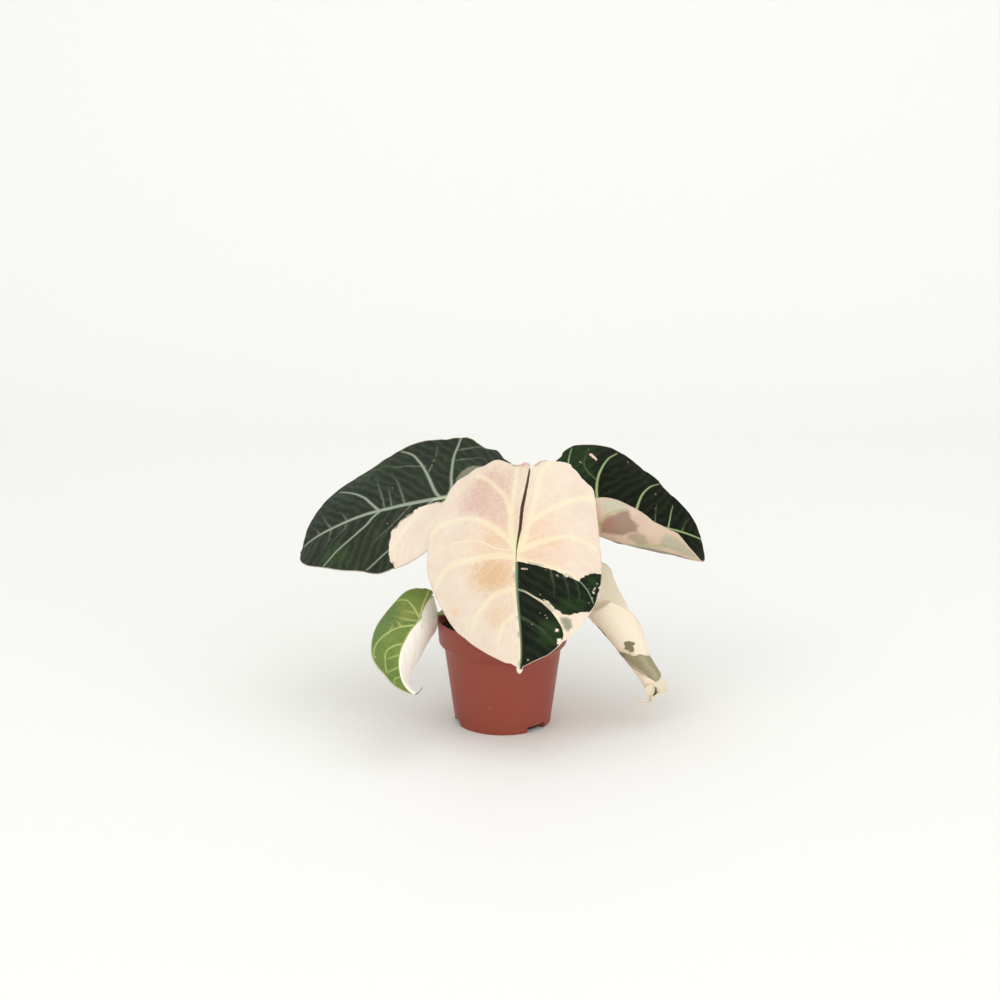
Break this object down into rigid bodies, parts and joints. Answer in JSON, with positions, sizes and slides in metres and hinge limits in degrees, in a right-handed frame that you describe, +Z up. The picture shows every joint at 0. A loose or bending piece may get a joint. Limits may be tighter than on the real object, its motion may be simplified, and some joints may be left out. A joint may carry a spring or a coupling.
{
  "type": "potted variegated alocasia",
  "caption": "Variegated heart-leaved house plant with velvety pink, cream and dark green blades on arching stems, in a tapered round nursery pot.",
  "frame": {"origin": "middle of the pot's flat underside", "axes": "+Z up, -Y towards the viewer with the largest leaf hanging over the rim on that side, +X to the viewer's right along the widest spread of the leaves"},
  "size_m": [0.2828, 0.18, 0.1887],
  "materials": {
    "pot": "satin terracotta-coloured moulded plastic",
    "soil": "dark moist bark and peat mix with pale specks",
    "crown": "smooth green-yellow stem base",
    "petiole": "smooth pale yellow-green stems",
    "blade_front": "velvety, cream and pink with a near-black green sector",
    "blade_left_rear": "velvety near-black green with pale veins and a cream sector",
    "blade_right_rear": "velvety near-black green, pinkish grey underside",
    "blade_right_low": "cream with olive patches",
    "blade_left_low": "mid green half and off-white half"
  },
  "bodies": {
    "root": {"pot": "pot", "soil": "soil", "crown": "crown", "petiole_front": "petiole", "petiole_left_rear": "petiole", "petiole_right_rear": "petiole", "petiole_right_low": "petiole", "petiole_left_low": "petiole", "blade_front": "blade_front", "blade_left_rear": "blade_left_rear", "blade_right_rear": "blade_right_rear", "blade_right_low": "blade_right_low", "blade_left_low": "blade_left_low"}
  },
  "joints": []
}
